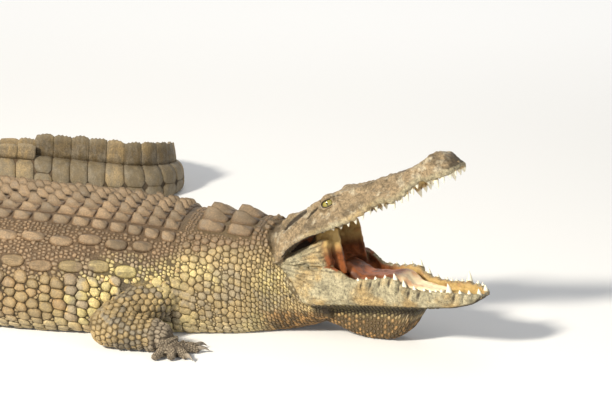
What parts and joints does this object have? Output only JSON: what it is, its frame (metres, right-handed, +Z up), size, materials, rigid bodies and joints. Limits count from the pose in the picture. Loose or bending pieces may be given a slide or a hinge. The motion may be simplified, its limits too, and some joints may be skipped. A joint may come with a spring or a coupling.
{
  "type": "nile crocodile model",
  "caption": "Life-size basking crocodile lying on its belly, jaws wide open and tail curled round; a still display model that rests on the floor.",
  "frame": {"origin": "middle of the outline's box, on the floor that the belly, pouch, feet and tail rest on", "axes": "+X the way the head points, +Y the animal's left, +Z up"},
  "size_m": [2.2432, 1.9793, 0.5075],
  "materials": {
    "skin": "dry, scaly hide, tan on the back and head and yellow on the flanks",
    "eye": "wet, yellow-green iris with an upright slit pupil",
    "tongue": "moist, pale yellow with orange patches",
    "claw": "horn, dark at the root and paler at the tip"
  },
  "bodies": {
    "root": {"eye_right": "eye", "eye_left": "eye", "head": "skin", "lower_jaw": "skin", "tongue": "tongue", "neck": "skin", "trunk": "skin", "tail_1": "skin", "tail_2": "skin", "tail_3": "skin", "tail_4": "skin", "tail_5": "skin", "tail_6": "skin", "foreleg_right_claw_1": "claw", "foreleg_right_claw_2": "claw", "foreleg_right_claw_3": "claw", "foreleg_right_upper": "skin", "foreleg_right_lower": "skin", "foreleg_right_foot": "skin", "hindleg_right_claw_1": "claw", "hindleg_right_claw_2": "claw", "hindleg_right_claw_3": "claw", "hindleg_right_upper": "skin", "hindleg_right_lower": "skin", "hindleg_right_foot": "skin", "foreleg_left_claw_1": "claw", "foreleg_left_claw_2": "claw", "foreleg_left_claw_3": "claw", "foreleg_left_upper": "skin", "foreleg_left_lower": "skin", "foreleg_left_foot": "skin", "hindleg_left_claw_1": "claw", "hindleg_left_claw_2": "claw", "hindleg_left_claw_3": "claw", "hindleg_left_upper": "skin", "hindleg_left_lower": "skin", "hindleg_left_foot": "skin"}
  },
  "joints": []
}
